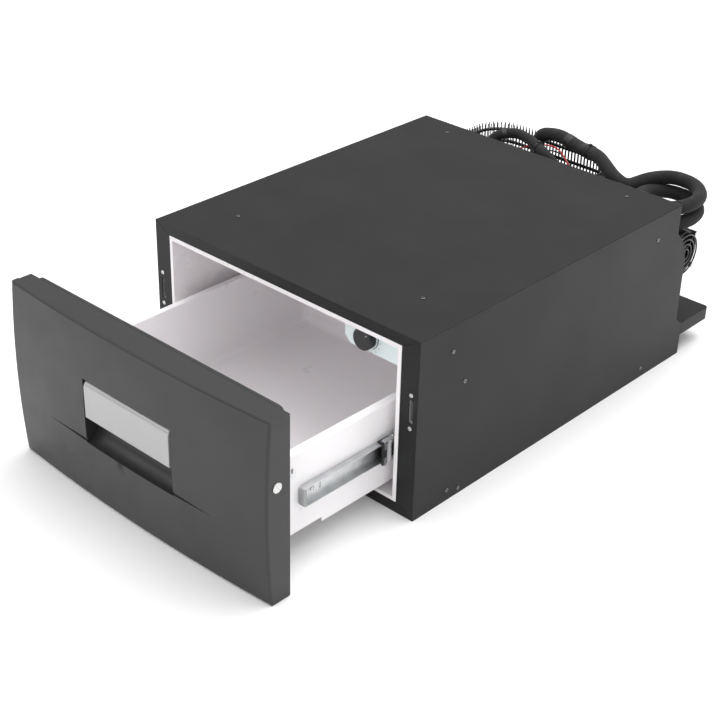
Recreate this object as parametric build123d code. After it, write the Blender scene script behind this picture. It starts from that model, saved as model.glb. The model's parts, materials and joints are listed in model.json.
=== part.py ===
"""Pull-out drawer fridge with a 12/24 V compressor unit on its rear.

Millimetres, +X to the right, +Y to the rear, +Z up. Every function draws its piece with y = 0 on the
front plane of the cabinet and z = 0 on its underside. save() then moves it half the cabinet's depth
forward, so the origin of the finished part is the centre of the cabinet's base. The drawer is drawn
from its own back plane (the face that meets the cabinet) and pulled out by DRAWER_OUT.
"""
from build123d import *
from math import cos, hypot, pi, radians, sin, tan
import os

# ---- cabinet ------------------------------------------------------------------------------------
WIDTH = 440.0
HEIGHT = 238.0
DEPTH = 514.0
SHEET = 1.2                 # folded steel sheet
FRAME_T = 1.5               # front frame sheet
GAP = 0.05                  # assembly gap between sheets that lie on each other
HALF = WIDTH / 2

OPEN_HALF = 191.5           # opening in the front frame
OPEN_BOTTOM = 17.0
OPEN_TOP = 221.8
LINER_T = 3.0
LINER_DEPTH = 432.0
LIP = 2.0                   # how far the liner's lip laps over the frame
LIP_T = 1.0

FOAM_HALF = HALF - 2 * SHEET - 4 * GAP
FOAM_BOTTOM = 2.6
FOAM_TOP = HEIGHT - 2 * SHEET - 4 * GAP
FOAM_FRONT = 3.6
REAR_PANEL_Y = DEPTH - 2 * SHEET - GAP

TOP_SCREW_X = 154.0
TOP_SCREW_Y = (79.0, 484.0)
SIDE_SCREWS = ((57.0, 204.0), (81.0, 156.0), (60.0, 15.0), (81.0, 8.0), (463.0, 14.0), (465.0, 204.0))
SCREW_HEAD_R = 2.7
SCREW_HEAD_H = 1.0
SCREW_R = 1.6
SCREW_LENGTH = 9.0

# ---- latch strikes ------------------------------------------------------------------------------
LATCH_X = 210.0
STRIKE_SCREW_Z = (123.5, 167.0)
STRIKE_Z = (131.0, 159.6)
STRIKE_HALF = 2.3
STRIKE_PLATE_T = 1.9

# ---- slides -------------------------------------------------------------------------------------
RAIL_Z = 85.0
RAIL_T = 1.2
OUTER_H = 35.0
INNER_H = 25.0
BALL_R = 1.85
BALL_X = 181.0
OUTER_RAIL_Y = (6.0, 384.0)
INNER_RAIL_Y = (51.0, 411.0)          # behind the drawer's back plane
CAGE_Y = (-10.0, 180.0)               # at rest
CAGE_BALLS = 8

# ---- drawer -------------------------------------------------------------------------------------
DRAWER_OUT = 193.0          # back plane of the drawer front, in front of the cabinet, at rest
FRONT_HALF = 215.0
FRONT_Z = (1.0, 233.0)
FRONT_MID_T = 42.0          # thickness at the middle of the front
FRONT_EDGE_T = 36.5         # thickness at the top and bottom of the middle
SIDE_BOW = 8.5              # how much thinner the front is at its sides
COVER_T = 3.0
PANEL_T = 2.5
EDGE_R = 3.0

TUB_HALF = 175.0
TUB_Y = (0.3, 415.0)
TUB_Z = (32.0, 142.0)
TUB_WALL = 10.0             # inner skin, hollow and outer skirt together
SKIN = 2.5
TUB_FLOOR_T = 3.0

RECESS_HALF = 75.0
RECESS_Z = (81.0, 166.0)
RECESS_R = 20.0
RECESS_STEP = 112.0         # above this height the recess is deeper, for the latch
RECESS_BACK = 22.0          # distance of the lower back wall from the back plane
RECESS_BACK_TOP = 8.0
CUP_T = 2.5

HANDLE_HALF = 72.0
HANDLE_R = 7.0
HANDLE_PIVOT = (-34.6, 157.5)
HANDLE_BOTTOM = 116.0
HANDLE_T = 4.0
PIN_R = 2.0
SHAFT_PIVOT = (-19.0, 151.0)
SHAFT_R = 4.5
SHOULDER_R = 2.5
RUN = 0.05                  # radial play of a running fit
CLAW_X = 40.0

# ---- thermostat ---------------------------------------------------------------------------------
THERMO_X = (85.0, 188.4)
THERMO_Y = (24.0, 76.0)
THERMO_Z = (178.0, 218.6)
KNOB = (120.5, 196.5)
KNOB_R = 14.0
KNOB_H = 10.0
KNOB_POINTER = 45.0         # which way the pointer stands at rest

# ---- cooling unit -------------------------------------------------------------------------------
TRAY_Z = 48.0
TRAY_REAR = 625.0
TRAY_LIP = 19.0
BRACKET_REAR = 556.5
BRACKET_TOP = 197.0
COND_X = (-168.0, 50.0)
COND_FRONT = 524.0
COND_REAR = 617.0
COND_CORNER = 40.0
TUBE_R = 2.4
WIRE_R = 0.8
COND_ROWS = 9
COND_Z0 = 66.0
ROW_PITCH = 18.0
WIRE_Z = (56.0, 220.0)
WIRE_TOP_RIGHT = 214.0      # the right leg's wires stop below the hose that crosses them
WIRE_PITCH = 5.6
COMP = (-58.0, 562.5)
COMP_HALF = (71.0, 44.0)
COMP_Z = (60.0, 176.0)
FAN = (198.0, 549.0, 152.0)
FAN_HALF = 32.0
FAN_PITCH = 23.3            # half the screws' spacing
FAN_DEPTH = 25.0
HOSE_R = 9.5
LOOM_R = 7.3
LOOM_END = (0.0, 543.0, 178.1)        # top of the terminal post on the compressor
SUCTION = (-77.0, 600.0, 195.9)       # top of the compressor's suction pipe
COIL = (168.0, 567.0)
COIL_R = 40.0
COIL_CORNERS = 14           # corners of the stepped spiral, eight to a turn
HOSE_PORTS = ((-120.0, 200.0, LOOM_R), (100.0, 168.0, HOSE_R))

# ---- evaporator ---------------------------------------------------------------------------------
EVAPORATOR_X = 170.0
EVAPORATOR_Z = (60.0, 205.0)
EVAPORATOR_T = 1.6
EVAPORATOR_Y = LINER_DEPTH - LINER_T - 4.0
EVAPORATOR_SCREWS = tuple((x, z) for x in (-155.0, 155.0) for z in (72.0, 193.0))


# ---- helpers ------------------------------------------------------------------------------------
def block(x0, x1, y0, y1, z0, z1):
    """A plain block between two opposite corners."""
    centre = Pos((x0 + x1) / 2, (y0 + y1) / 2, (z0 + z1) / 2)
    return centre * Box(abs(x1 - x0), abs(y1 - y0), abs(z1 - z0))


def rod(start, direction, length, radius):
    """A round bar that starts at a point and runs along a direction."""
    plane = Plane(origin=start, z_dir=direction)
    return plane * Cylinder(radius, length, align=(Align.CENTER, Align.CENTER, Align.MIN))


def ring(start, direction, length, outer, inner):
    """A round sleeve."""
    return rod(start, direction, length, outer) - rod(start, direction, length, inner)


def prism(points, x0, x1):
    """An outline in the YZ plane, extruded from x0 to x1."""
    outline = make_face(Polyline(*[(0, y, z) for y, z in points], close=True))
    return Pos(x0, 0, 0) * extrude(outline, amount=x1 - x0, dir=(1, 0, 0))


def round_pipe(points, radii, radius):
    """A round section carried along straight runs joined by tangent arcs."""
    path = FilletPolyline(*points, radius=radii)
    start = Plane(origin=path @ 0, z_dir=path % 0)
    return sweep(start * Circle(radius), path=path)


def bend_radii(points, largest):
    """The largest arc that fits each corner of a route, up to a limit."""
    radii = []
    for a, b, c in zip(points, points[1:], points[2:]):
        before = Vector(b) - Vector(a)
        after = Vector(c) - Vector(b)
        turn = radians(before.get_angle(after))
        fit = 0.45 * min(before.length, after.length) / tan(turn / 2)
        radii.append(min(fit, largest))
    return radii


def mirrored(shape):
    """The same piece on the other side of the cabinet."""
    return mirror(shape, about=Plane.YZ)


def both(shape):
    """A piece and its mirror image."""
    return [shape, mirrored(shape)]


def group(shapes):
    """Several separate solids in one node."""
    solids = []
    for shape in shapes:
        solids.extend(shape.solids())
    return Compound(solids)


def pulled(shape):
    """A drawer piece, moved from its back plane to where the open drawer stands."""
    return Pos(0, -DRAWER_OUT, 0) * shape


def save(name, shape):
    """One STEP file per node, with the origin at the centre of the base."""
    export_step(Pos(0, -DEPTH / 2, 0) * shape, f"parts/{name}.step")


def pan_screw(seat, outward, length=SCREW_LENGTH):
    """A pan-head screw whose head rests on the seat point."""
    inward = Vector(outward) * -1
    head = rod(seat, outward, SCREW_HEAD_H, SCREW_HEAD_R)
    head = fillet(head.edges().filter_by(GeomType.CIRCLE).sort_by(Axis(seat, outward))[-1], 0.6)
    slot_centre = Vector(seat) + Vector(outward) * SCREW_HEAD_H
    cross = Plane(origin=slot_centre, z_dir=outward) * (Box(3.0, 0.7, 1.0) + Box(0.7, 3.0, 1.0))
    return head + rod(seat, inward, length, SCREW_R) - cross


# ---- cabinet pieces -----------------------------------------------------------------------------
def housing_screw_seats():
    """Where the screws of the top and the sides sit, with the way they face."""
    seats = []
    for y in TOP_SCREW_Y:
        for x in (-TOP_SCREW_X, TOP_SCREW_X):
            seats.append(((x, y, HEIGHT), (0, 0, 1)))
    for y, z in SIDE_SCREWS:
        seats.append(((HALF, y, z), (1, 0, 0)))
        seats.append(((-HALF, y, z), (-1, 0, 0)))
    return seats


def screw_holes(radius, length=SCREW_LENGTH):
    """Tools that drill every housing screw's hole."""
    tools = []
    for seat, outward in housing_screw_seats():
        start = Vector(seat) + Vector(outward)
        tools.append(rod(tuple(start), Vector(outward) * -1, length + 1.3, radius))
    return tools


def outer_wrap():
    shell = block(-HALF, HALF, FRAME_T + GAP, DEPTH, 0, HEIGHT)
    shell -= block(-HALF + SHEET, HALF - SHEET, -1, DEPTH + 1, -1, HEIGHT - SHEET)
    flange = block(-HALF, HALF, DEPTH - SHEET, DEPTH, BRACKET_TOP + 1, HEIGHT)
    flange -= block(-HALF + 11, HALF - 11, 0, DEPTH + 1, 0, HEIGHT - 11)
    shell += flange
    long_edges = shell.edges().filter_by(Axis.Y).group_by(Axis.Z)[-1]
    shell = fillet(long_edges, 1.0)
    return shell - screw_holes(SCREW_R + 0.1)


def front_frame():
    inner = HALF - SHEET - GAP
    plate = block(-HALF, HALF, 0, FRAME_T, 0, HEIGHT)
    rim = block(-inner, inner, FRAME_T, 12, SHEET + GAP, HEIGHT - SHEET - GAP)
    rim -= block(-inner + SHEET, inner - SHEET, 0, 13, 2 * SHEET + GAP, HEIGHT - 2 * SHEET - GAP)
    plate += rim
    plate -= block(-OPEN_HALF, OPEN_HALF, -1, 5, OPEN_BOTTOM, OPEN_TOP)
    lip_gap = OPEN_HALF + LIP + 0.2
    for side in (-1, 1):
        slot = block(side * (LATCH_X - 3.2), side * (LATCH_X + 3.2), -1, 2, STRIKE_Z[0] - 1.2, STRIKE_Z[1] + 0.8)
        plate -= fillet(slot.edges().filter_by(Axis.Y), 2.4)
        for z in STRIKE_SCREW_Z:
            plate -= rod((side * LATCH_X, -1, z), (0, 1, 0), 5, SCREW_R)
        for z_out, z_in in ((HEIGHT, OPEN_TOP + LIP), (0, OPEN_BOTTOM - LIP)):
            seam = Polyline((side * (HALF + 1), 0, z_out), (side * lip_gap, 0, z_in))
            middle = seam @ 0.5
            cut = Plane(origin=middle, x_dir=seam % 0.5, z_dir=(0, -1, 0)) * Box(seam.length, 0.4, 0.8)
            plate -= cut
    return plate


def base_pan():
    inner = HALF - SHEET - GAP
    pan = block(-inner, inner, FRAME_T + GAP, BRACKET_REAR, 0, SHEET)
    for side in (-1, 1):
        pan += block(side * inner, side * (inner - SHEET), 13, DEPTH - 12, 0, 14)
        pan += block(side * inner, side * (inner - SHEET), DEPTH + GAP, BRACKET_REAR, 0, 14)
    pan -= screw_holes(SCREW_R + 0.1)
    return pan


def rear_panel():
    panel = block(-FOAM_HALF, FOAM_HALF, REAR_PANEL_Y - SHEET, REAR_PANEL_Y, FOAM_BOTTOM, FOAM_TOP)
    for x, z, radius in HOSE_PORTS:
        panel -= rod((x, REAR_PANEL_Y - 5, z), (0, 1, 0), 10, radius + 2.5)
    return panel


def liner():
    back_in = LINER_DEPTH - LINER_T
    inside = block(-OPEN_HALF + LINER_T, OPEN_HALF - LINER_T, -5, back_in,
                   OPEN_BOTTOM + LINER_T, OPEN_TOP - LINER_T)
    inside = fillet(inside.edges().group_by(Axis.Y)[-1], 8)
    outside = block(-OPEN_HALF + GAP, OPEN_HALF - GAP, -0.5, LINER_DEPTH, OPEN_BOTTOM + GAP, OPEN_TOP - GAP)
    outside = fillet(outside.edges().group_by(Axis.Y)[-1], 8)
    lip = block(-OPEN_HALF - LIP, OPEN_HALF + LIP, -LIP_T, -GAP / 5, OPEN_BOTTOM - LIP, OPEN_TOP + LIP)
    lip = fillet(lip.edges().group_by(Axis.Y)[0], 0.7)
    shell = outside + lip - inside
    for place in outer_rail_screw_places():
        shell -= rod(place, (1, 0, 0), 12, SCREW_R)
        shell -= rod((-place[0], place[1], place[2]), (-1, 0, 0), 12, SCREW_R)
    for x, z in EVAPORATOR_SCREWS:
        shell -= rod((x, LINER_DEPTH - 8, z), (0, 1, 0), 12, SCREW_R)
    return shell


def insulation():
    foam = block(-FOAM_HALF, FOAM_HALF, FOAM_FRONT, REAR_PANEL_Y - SHEET - GAP, FOAM_BOTTOM, FOAM_TOP)
    foam -= block(-OPEN_HALF, OPEN_HALF, 0, LINER_DEPTH + GAP, OPEN_BOTTOM, OPEN_TOP)
    for side in (-1, 1):
        foam -= block(side * (LATCH_X - 5), side * (LATCH_X + 5), 0, 18, STRIKE_Z[0] - 4, STRIKE_Z[1] + 4)
        foam -= block(side * (FOAM_HALF - 1.2), side * FOAM_HALF, 0, DEPTH, 0, 15)
        foam -= block(side * (FOAM_HALF - 1.2), side * FOAM_HALF, DEPTH - 30, DEPTH, 15, BRACKET_TOP + 1)
        for z in STRIKE_SCREW_Z:
            foam -= rod((side * LATCH_X, 0, z), (0, 1, 0), 12, SCREW_R)
    foam -= screw_holes(SCREW_R)
    for place in outer_rail_screw_places():
        foam -= rod(place, (1, 0, 0), 12, SCREW_R)
        foam -= rod((-place[0], place[1], place[2]), (-1, 0, 0), 12, SCREW_R)
    for x, z in EVAPORATOR_SCREWS:
        foam -= rod((x, LINER_DEPTH - 8, z), (0, 1, 0), 16, SCREW_R)
    for x, z, radius in HOSE_PORTS:
        foam -= rod((x, REAR_PANEL_Y - 22, z), (0, 1, 0), 40, radius)
    return foam


def strike_plate():
    """The plate that the latch hook catches, with a closed cup behind its slot."""
    plate = block(LATCH_X - 6, LATCH_X + 6, FRAME_T + GAP, FRAME_T + GAP + STRIKE_PLATE_T,
                  STRIKE_SCREW_Z[0] - 6, STRIKE_SCREW_Z[1] + 6)
    plate = fillet(plate.edges().filter_by(Axis.Y), 3)
    plate += block(LATCH_X - 4.6, LATCH_X + 4.6, FRAME_T + GAP, 17, STRIKE_Z[0] - 3, STRIKE_Z[1] + 3)
    plate -= block(LATCH_X - 3.8, LATCH_X + 3.8, FRAME_T + GAP + STRIKE_PLATE_T, 16.2,
                   STRIKE_Z[0] - 2.2, STRIKE_Z[1] + 2.2)
    slot = block(LATCH_X - STRIKE_HALF, LATCH_X + STRIKE_HALF, 0, 5, STRIKE_Z[0], STRIKE_Z[1])
    plate -= fillet(slot.edges().filter_by(Axis.Y), 1.5)
    for z in STRIKE_SCREW_Z:
        plate -= rod((LATCH_X, 0, z), (0, 1, 0), 8, SCREW_R)
    return plate


def zinc_screws():
    """The bright pan-head screws: four through the strikes, four through the evaporator."""
    screws = []
    for side in (-1, 1):
        for z in STRIKE_SCREW_Z:
            screws.append(pan_screw((side * LATCH_X, 0, z), (0, -1, 0), 8))
    seat = EVAPORATOR_Y - EVAPORATOR_T
    for x, z in EVAPORATOR_SCREWS:
        screws.append(pan_screw((x, seat, z), (0, -1, 0), 12))
    return group(screws)


# ---- slides -------------------------------------------------------------------------------------
def outer_rail_screw_places():
    inner_face = OPEN_HALF - LINER_T - RAIL_T
    return [(inner_face, y, RAIL_Z) for y in (30.0, 150.0, 270.0, 365.0)]


def channel(web_x, tip_x, height, y0, y1):
    """A folded C rail: its web at web_x, its flanges reaching to tip_x."""
    step = RAIL_T if tip_x > web_x else -RAIL_T
    half = height / 2
    body = block(web_x, tip_x, y0, y1, RAIL_Z - half, RAIL_Z + half)
    body -= block(web_x + step, tip_x + step, y0 - 1, y1 + 1, RAIL_Z - half + RAIL_T, RAIL_Z + half - RAIL_T)
    corners = [e for e in body.edges().filter_by(Axis.Y)
               if abs(e.center().X - web_x) < 0.1 and abs(abs(e.center().Z - RAIL_Z) - half) < 0.1]
    return fillet(corners, 1.0)


def outer_rail():
    rail = channel(OPEN_HALF - LINER_T - GAP, 178.5, OUTER_H, *OUTER_RAIL_Y)
    for place in outer_rail_screw_places():
        rail -= rod((place[0] - 2, place[1], place[2]), (1, 0, 0), 6, SCREW_R)
    return rail


def outer_rail_screws():
    screws = []
    for x, y, z in outer_rail_screw_places():
        seat = x - GAP
        screws += both(rod((seat, y, z), (-1, 0, 0), 0.7, 3.6) + rod((seat, y, z), (1, 0, 0), 9, SCREW_R))
    return group(screws)


def inner_rail_screw_places():
    return [(TUB_HALF + 0.2 + RAIL_T, y, RAIL_Z + 1) for y in (72.0, 190.0, 300.0, 396.0)]


def inner_rail():
    rail = channel(TUB_HALF + 0.2, 184.0, INNER_H, *INNER_RAIL_Y)
    half = INNER_H / 2
    nose = block(TUB_HALF, 185, INNER_RAIL_Y[0], INNER_RAIL_Y[1], RAIL_Z - half, RAIL_Z + half)
    rail &= fillet(nose.edges().filter_by(Axis.X).group_by(Axis.Y)[0], 5.0)
    for x, y, z in inner_rail_screw_places():
        rail -= rod((x - 4, y, z), (1, 0, 0), 8, SCREW_R)
        slot = block(x - 4, x + 4, y + 10, y + 13, RAIL_Z - 4, RAIL_Z + 4)
        rail -= slot
    return rail


def rail_bumper():
    """The soft stop clipped into the front end of the inner rail."""
    half = INNER_H / 2 - RAIL_T - 0.1
    y0 = INNER_RAIL_Y[0]
    body = block(TUB_HALF + 0.3 + RAIL_T, 183.6, y0 + 0.4, y0 + 5, RAIL_Z - half, RAIL_Z + half)
    return fillet(body.edges().filter_by(Axis.X).group_by(Axis.Y)[0], 2.0)


def inner_rail_screws():
    screws = []
    for x, y, z in inner_rail_screw_places():
        seat = x + GAP
        head = rod((seat, y, z), (1, 0, 0), 1.6, 3.4) - block(seat + 0.8, seat + 2, y - 0.5, y + 0.5, z - 4, z + 4)
        screws += both(head + rod((seat, y, z), (-1, 0, 0), 3.6, SCREW_R))
    return group(screws)


def ball_places():
    first, last = CAGE_Y[0] + 14, CAGE_Y[1] - 8
    step = (last - first) / (CAGE_BALLS - 1)
    height = (INNER_H + OUTER_H - 2 * RAIL_T) / 4
    places = []
    for i in range(CAGE_BALLS):
        for sign in (-1, 1):
            places.append((BALL_X, first + i * step, RAIL_Z + sign * height))
    return places


def ball_cage():
    web = block(185.2, 186.0, *CAGE_Y, RAIL_Z - 14.8, RAIL_Z + 14.8)
    for sign in (-1, 1):
        web += block(179.4, 186.0, *CAGE_Y, RAIL_Z + sign * 14.0, RAIL_Z + sign * 14.8)
    for x, y, z in ball_places():
        web -= rod((x, y, z - 3), (0, 0, 1), 6, BALL_R + 0.1)
    window = block(185, 187, CAGE_Y[0] + 8, CAGE_Y[0] + 16, RAIL_Z - 9, RAIL_Z + 9)
    return group([web - window, cage_clip()])


def cage_balls():
    balls = []
    for x, y, z in ball_places():
        balls += both(Pos(x, y, z) * Sphere(BALL_R))
    return balls


def cage_stop():
    """The black moulded stop on the front end of the ball cage."""
    y0 = CAGE_Y[0]
    stop = block(184.3, 186.2, y0 - 7, y0 - 0.1, RAIL_Z - 15.2, RAIL_Z + 15.2)
    stop += block(184.3, 185.1, y0 - 7, y0 + 20, RAIL_Z - 13, RAIL_Z + 13)
    for side in (-1, 1):
        stop += block(176.9, 185.1, y0 - 7, y0 + 11, RAIL_Z + side * 12.9, RAIL_Z + side * 13.9)
    return stop


def cage_clip():
    """The bright steel clip folded over each end of the moulded stop, clear of the rail's screws."""
    y0 = CAGE_Y[0] - 5.3
    clips = []
    for side in (-1, 1):
        clip = block(186.25, 186.85, y0, y0 + 4, RAIL_Z + side * 5.5, RAIL_Z + side * 15.9)
        clip += block(181.0, 186.85, y0, y0 + 4, RAIL_Z + side * 15.25, RAIL_Z + side * 15.9)
        clips.append(clip)
    return group(clips)


# ---- inside the cabinet -------------------------------------------------------------------------
def evaporator():
    """A roll-bond plate: a flat sheet with a raised serpentine channel."""
    plate = block(-EVAPORATOR_X, EVAPORATOR_X, EVAPORATOR_Y - EVAPORATOR_T, EVAPORATOR_Y, *EVAPORATOR_Z)
    plate = fillet(plate.edges().filter_by(Axis.Y), 8)
    rows = 6
    pitch = (EVAPORATOR_Z[1] - EVAPORATOR_Z[0] - 40) / (rows - 1)
    run = 125.0
    channel_r = 3.0
    face = EVAPORATOR_Y - EVAPORATOR_T + 0.6
    for i in range(rows):
        z = EVAPORATOR_Z[0] + 20 + i * pitch
        plate += rod((-run, face, z), (1, 0, 0), 2 * run, channel_r)
    for i in range(rows - 1):
        z = EVAPORATOR_Z[0] + 20 + i * pitch
        x = run if i % 2 == 0 else -run
        plate += rod((x, face, z), (0, 0, 1), pitch, channel_r)
    plate -= block(-200, 200, EVAPORATOR_Y, EVAPORATOR_Y + 10, 0, 300)
    for x, z in EVAPORATOR_SCREWS:
        plate += rod((x, EVAPORATOR_Y - 0.5, z), (0, 1, 0), 4.5 - GAP, 5)
        plate -= rod((x, EVAPORATOR_Y - 5, z), (0, 1, 0), 10, SCREW_R)
    return plate


def thermostat_box():
    x0, x1 = THERMO_X
    y0, y1 = THERMO_Y
    z0, z1 = THERMO_Z
    body = block(x0, x1, y0, y1, z0, z1)
    corner = [e for e in body.edges().filter_by(Axis.Y)
              if abs(e.center().X - x0) < 0.1 and abs(e.center().Z - z0) < 0.1]
    body = chamfer(corner, 9)
    body -= block(x0 + 2.5, x1 - 2.5, y0 + 2.5, y1 + 1, z0 + 11.5, z1 - 2.5)
    body -= rod((KNOB[0], y0 - 1, KNOB[1]), (0, 1, 0), 5, 4.2)
    body += ring((KNOB[0], y0 + 2.4, KNOB[1]), (0, 1, 0), 8, 6.5, 4.2)
    return body


def thermostat_switch():
    """The thermostat body that the knob turns, held on the back of the panel."""
    y0 = THERMO_Y[0] + 10.5
    body = block(KNOB[0] - 16, KNOB[0] + 16, y0, y0 + 26, KNOB[1] - 6.5, KNOB[1] + 15)
    body = fillet(body.edges().filter_by(Axis.Y), 3)
    for dx in (-9, 0, 9):
        body += block(KNOB[0] + dx - 3, KNOB[0] + dx + 3, y0 + 26, y0 + 34, KNOB[1] - 1, KNOB[1] - 0.2)
    return body - rod((KNOB[0], y0 - 1, KNOB[1]), (0, 1, 0), 14, 3.1)


def thermostat_probe():
    """The sensing tube, from the thermostat along the ceiling to the evaporator."""
    start = (KNOB[0] + 12, THERMO_Y[0] + 36.6, KNOB[1] + 8)
    route = [start, (KNOB[0] + 14, 110, 213), (KNOB[0] + 16, 260, 214), (KNOB[0] + 12, 405, 213),
             (KNOB[0] - 2, 420, 200), (KNOB[0] - 6, 420, 150)]
    return round_pipe(route, bend_radii(route, 60), 1.0)


def thermostat_knob():
    face = THERMO_Y[0] - 0.5
    knob = rod((KNOB[0], face, KNOB[1]), (0, -1, 0), KNOB_H, KNOB_R)
    rim = knob.edges().filter_by(GeomType.CIRCLE).sort_by(Axis.Y)[0]
    knob = fillet(rim, 1.6)
    flutes = 24
    for i in range(flutes):
        angle = 2 * pi * i / flutes
        x = KNOB[0] + (KNOB_R + 0.5) * cos(angle)
        z = KNOB[1] + (KNOB_R + 0.5) * sin(angle)
        knob -= rod((x, face + 1, z), (0, -1, 0), KNOB_H + 4, 1.1)
    pointer = block(KNOB[0] - 0.7, KNOB[0] + 0.7, face - KNOB_H - 1, face - KNOB_H + 0.6,
                    KNOB[1] - KNOB_R + 2, KNOB[1] - 7)
    turn = Pos(KNOB[0], 0, KNOB[1]) * Rot(0, KNOB_POINTER, 0) * Pos(-KNOB[0], 0, -KNOB[1])
    knob -= turn * pointer
    return knob + rod((KNOB[0], face - 1, KNOB[1]), (0, 1, 0), 16, 3.0)



# ---- drawer -------------------------------------------------------------------------------------
def bowed_solid(inset, back):
    """The front's double-curved body: a vertical arc turned about a far upright axis."""
    z0 = FRONT_Z[0] + inset
    z1 = FRONT_Z[1] - inset
    half = FRONT_HALF - inset
    radius = (FRONT_HALF ** 2 + SIDE_BOW ** 2) / (2 * SIDE_BOW)
    axis_y = radius - FRONT_MID_T
    edge = -FRONT_EDGE_T + inset
    middle = -FRONT_MID_T + inset
    arc = ThreePointArc((0, edge, z0), (0, middle, (z0 + z1) / 2), (0, edge, z1))
    rest = Polyline((0, edge, z1), (0, 60, z1), (0, 60, z0), (0, edge, z0))
    profile = make_face(Wire([arc] + rest.edges()))
    turned = Pos(0, axis_y, 0) * Rot(0, 0, -7) * Pos(0, -axis_y, 0) * profile
    body = revolve(turned, Axis((0, axis_y, 0), (0, 0, 1)), 14)
    return body & block(-half, half, -80, back, z0, z1)


def recess_space(grow):
    """The finger recess, grown by a wall thickness."""
    half = RECESS_HALF + grow
    low = RECESS_Z[0]
    back = -RECESS_BACK + grow
    centre_y = -RECESS_BACK - RECESS_R
    scoop = rod((-half, centre_y, low + RECESS_R), (1, 0, 0), 2 * half, RECESS_R + grow)
    scoop &= block(-half, half, centre_y, back, low - grow, low + RECESS_R)
    ahead = block(-half, half, -70, centre_y, low - grow, low + RECESS_R)
    upper = block(-half, half, -70, back, low + RECESS_R, RECESS_Z[1] + grow)
    deep = block(-half, half, -70, -RECESS_BACK_TOP + grow, RECESS_STEP - grow, RECESS_Z[1] + grow)
    return scoop + ahead + upper + deep


def crease(side):
    """A shallow wedge that carries the recess's lower edge sideways and fades out."""
    z = RECESS_Z[0]
    length, fade = (78.0, -37.3) if side < 0 else (60.0, -38.2)
    near = make_face(Polyline((side * RECESS_HALF, -50, z), (side * RECESS_HALF, -38.8, z + 1.5),
                              (side * RECESS_HALF, -50, z + 34), close=True))
    far_x = side * (RECESS_HALF + length)
    far = make_face(Polyline((far_x, -50, z + 1), (far_x, fade, z + 2), (far_x, -50, z + 12), close=True))
    return loft([near, far])


def front_cover():
    body = bowed_solid(0, 0)
    face_edges = [e for e in body.edges() if e.center().Y < -25]
    body = fillet(face_edges, EDGE_R)
    body -= block(-300, 300, -18, 1, FRONT_Z[1] - 1.0, FRONT_Z[1] + 5)
    body -= bowed_solid(COVER_T, 1)
    cup = recess_space(CUP_T) & bowed_solid(0, -0.5)
    body += cup
    body -= recess_space(0)
    body -= [crease(-1), crease(1)]
    y, z = SHAFT_PIVOT
    body -= rod((-RECESS_HALF - 10, y, z), (1, 0, 0), 2 * RECESS_HALF + 20, SHAFT_R + 0.4)
    body -= rod((-FRONT_HALF - 10, y, z), (1, 0, 0), 2 * FRONT_HALF + 20, SHOULDER_R + RUN)
    y, z = HANDLE_PIVOT
    body -= rod((-RECESS_HALF - 10, y, z), (1, 0, 0), 2 * RECESS_HALF + 20, PIN_R)
    return body


def hook_windows(y0, y1):
    windows = []
    for side in (-1, 1):
        windows.append(block(side * (LATCH_X - 3), side * (LATCH_X + 1.95), y0, y1, 134, 163))
    return windows


def front_screw_places():
    return [(x, z) for x in (-150.0, 150.0) for z in (48.0, 122.0)] + [(0.0, 48.0)]


def front_panel():
    panel = block(-211.9, 211.9, -PANEL_T, 0, FRONT_Z[0] + 3.1, FRONT_Z[1] - 3.1)
    panel -= hook_windows(-5, 5)
    for x, z in front_screw_places():
        panel -= rod((x, -5, z), (0, 1, 0), 10, SCREW_R)
    return panel


def front_foam():
    foam = bowed_solid(COVER_T + 0.1, -PANEL_T - 0.05) - recess_space(CUP_T + 0.05)
    y, z = SHAFT_PIVOT
    foam -= block(-212, 212, y - 7, y + 7, z - 7, z + 7)
    for side in (-1, 1):
        foam -= block(side * (LATCH_X - 6), side * 212, -32, 0, z - 20, z + 12)
        foam -= rod((side * 74, HANDLE_PIVOT[0], HANDLE_PIVOT[1]), (side, 0, 0), 6, PIN_R + 0.3)
    for x, z in front_screw_places():
        foam -= rod((x, -12, z), (0, 1, 0), 20, SCREW_R)
    return foam


def gasket():
    ring_body = block(-204, 204, 0.05, 4.6, 6.5, 231.5) - block(-194.4, 194.4, -1, 6, 14.6, 224.2)
    hollow = block(-201.5, 201.5, 1.8, 3.2, 9.0, 229.0) - block(-196.9, 196.9, -1, 6, 12.1, 226.7)
    return ring_body - hollow


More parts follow.
